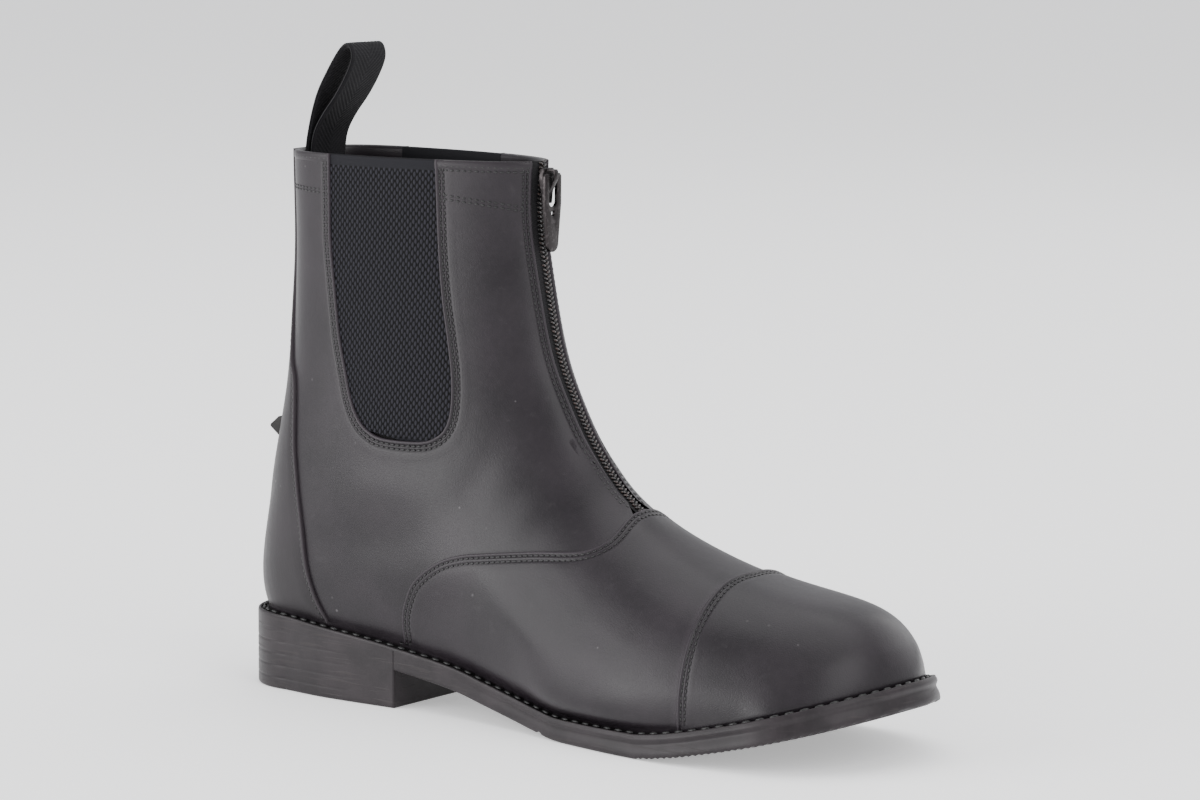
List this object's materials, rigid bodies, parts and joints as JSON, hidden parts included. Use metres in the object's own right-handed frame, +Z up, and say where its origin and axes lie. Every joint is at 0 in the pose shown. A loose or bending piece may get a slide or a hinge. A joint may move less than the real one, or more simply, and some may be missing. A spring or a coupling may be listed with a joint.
{
  "type": "zip jodhpur boot",
  "caption": "Right ankle-high leather riding boot with a front zip, elastic side panels, a toe cap, a low heel and a webbing pull loop.",
  "frame": {"origin": "on the heel's flat floor contact, below the ankle, on the boot's centre line", "axes": "+X towards the toe, +Y towards the medial (inner) side, +Z up; the floor is Z = 0"},
  "size_m": [0.29, 0.1, 0.2456],
  "materials": {
    "leather": "satin black smooth leather",
    "rubber": "matt moulded rubber",
    "elastic": "woven elastic",
    "webbing": "ribbed webbing",
    "welt_leather": "stitched black strip",
    "lining": "matt lining",
    "gunmetal": "dark plated zinc"
  },
  "bodies": {
    "boot": {"outsole": "rubber", "heel": "rubber", "welt": "welt_leather", "insole": "lining", "upper": "leather", "toe_cap": "leather", "back_stay": "leather", "spur_rest": "leather", "gore_lateral": "elastic", "gore_medial": "elastic", "zip_tape": "webbing", "zip_coil": "webbing", "zip_slider": "gunmetal", "pull_loop": "webbing"},
    "zip_pull_tab": {"zip_pull": "gunmetal"}
  },
  "joints": [
    {"name": "pull_tab_swing", "type": "hinge", "parent": "boot", "child": "zip_pull_tab", "pos_m": [0.08053, 0, 0.19994], "axis": [0, -1, 0], "range_deg": [0, 160]}
  ]
}
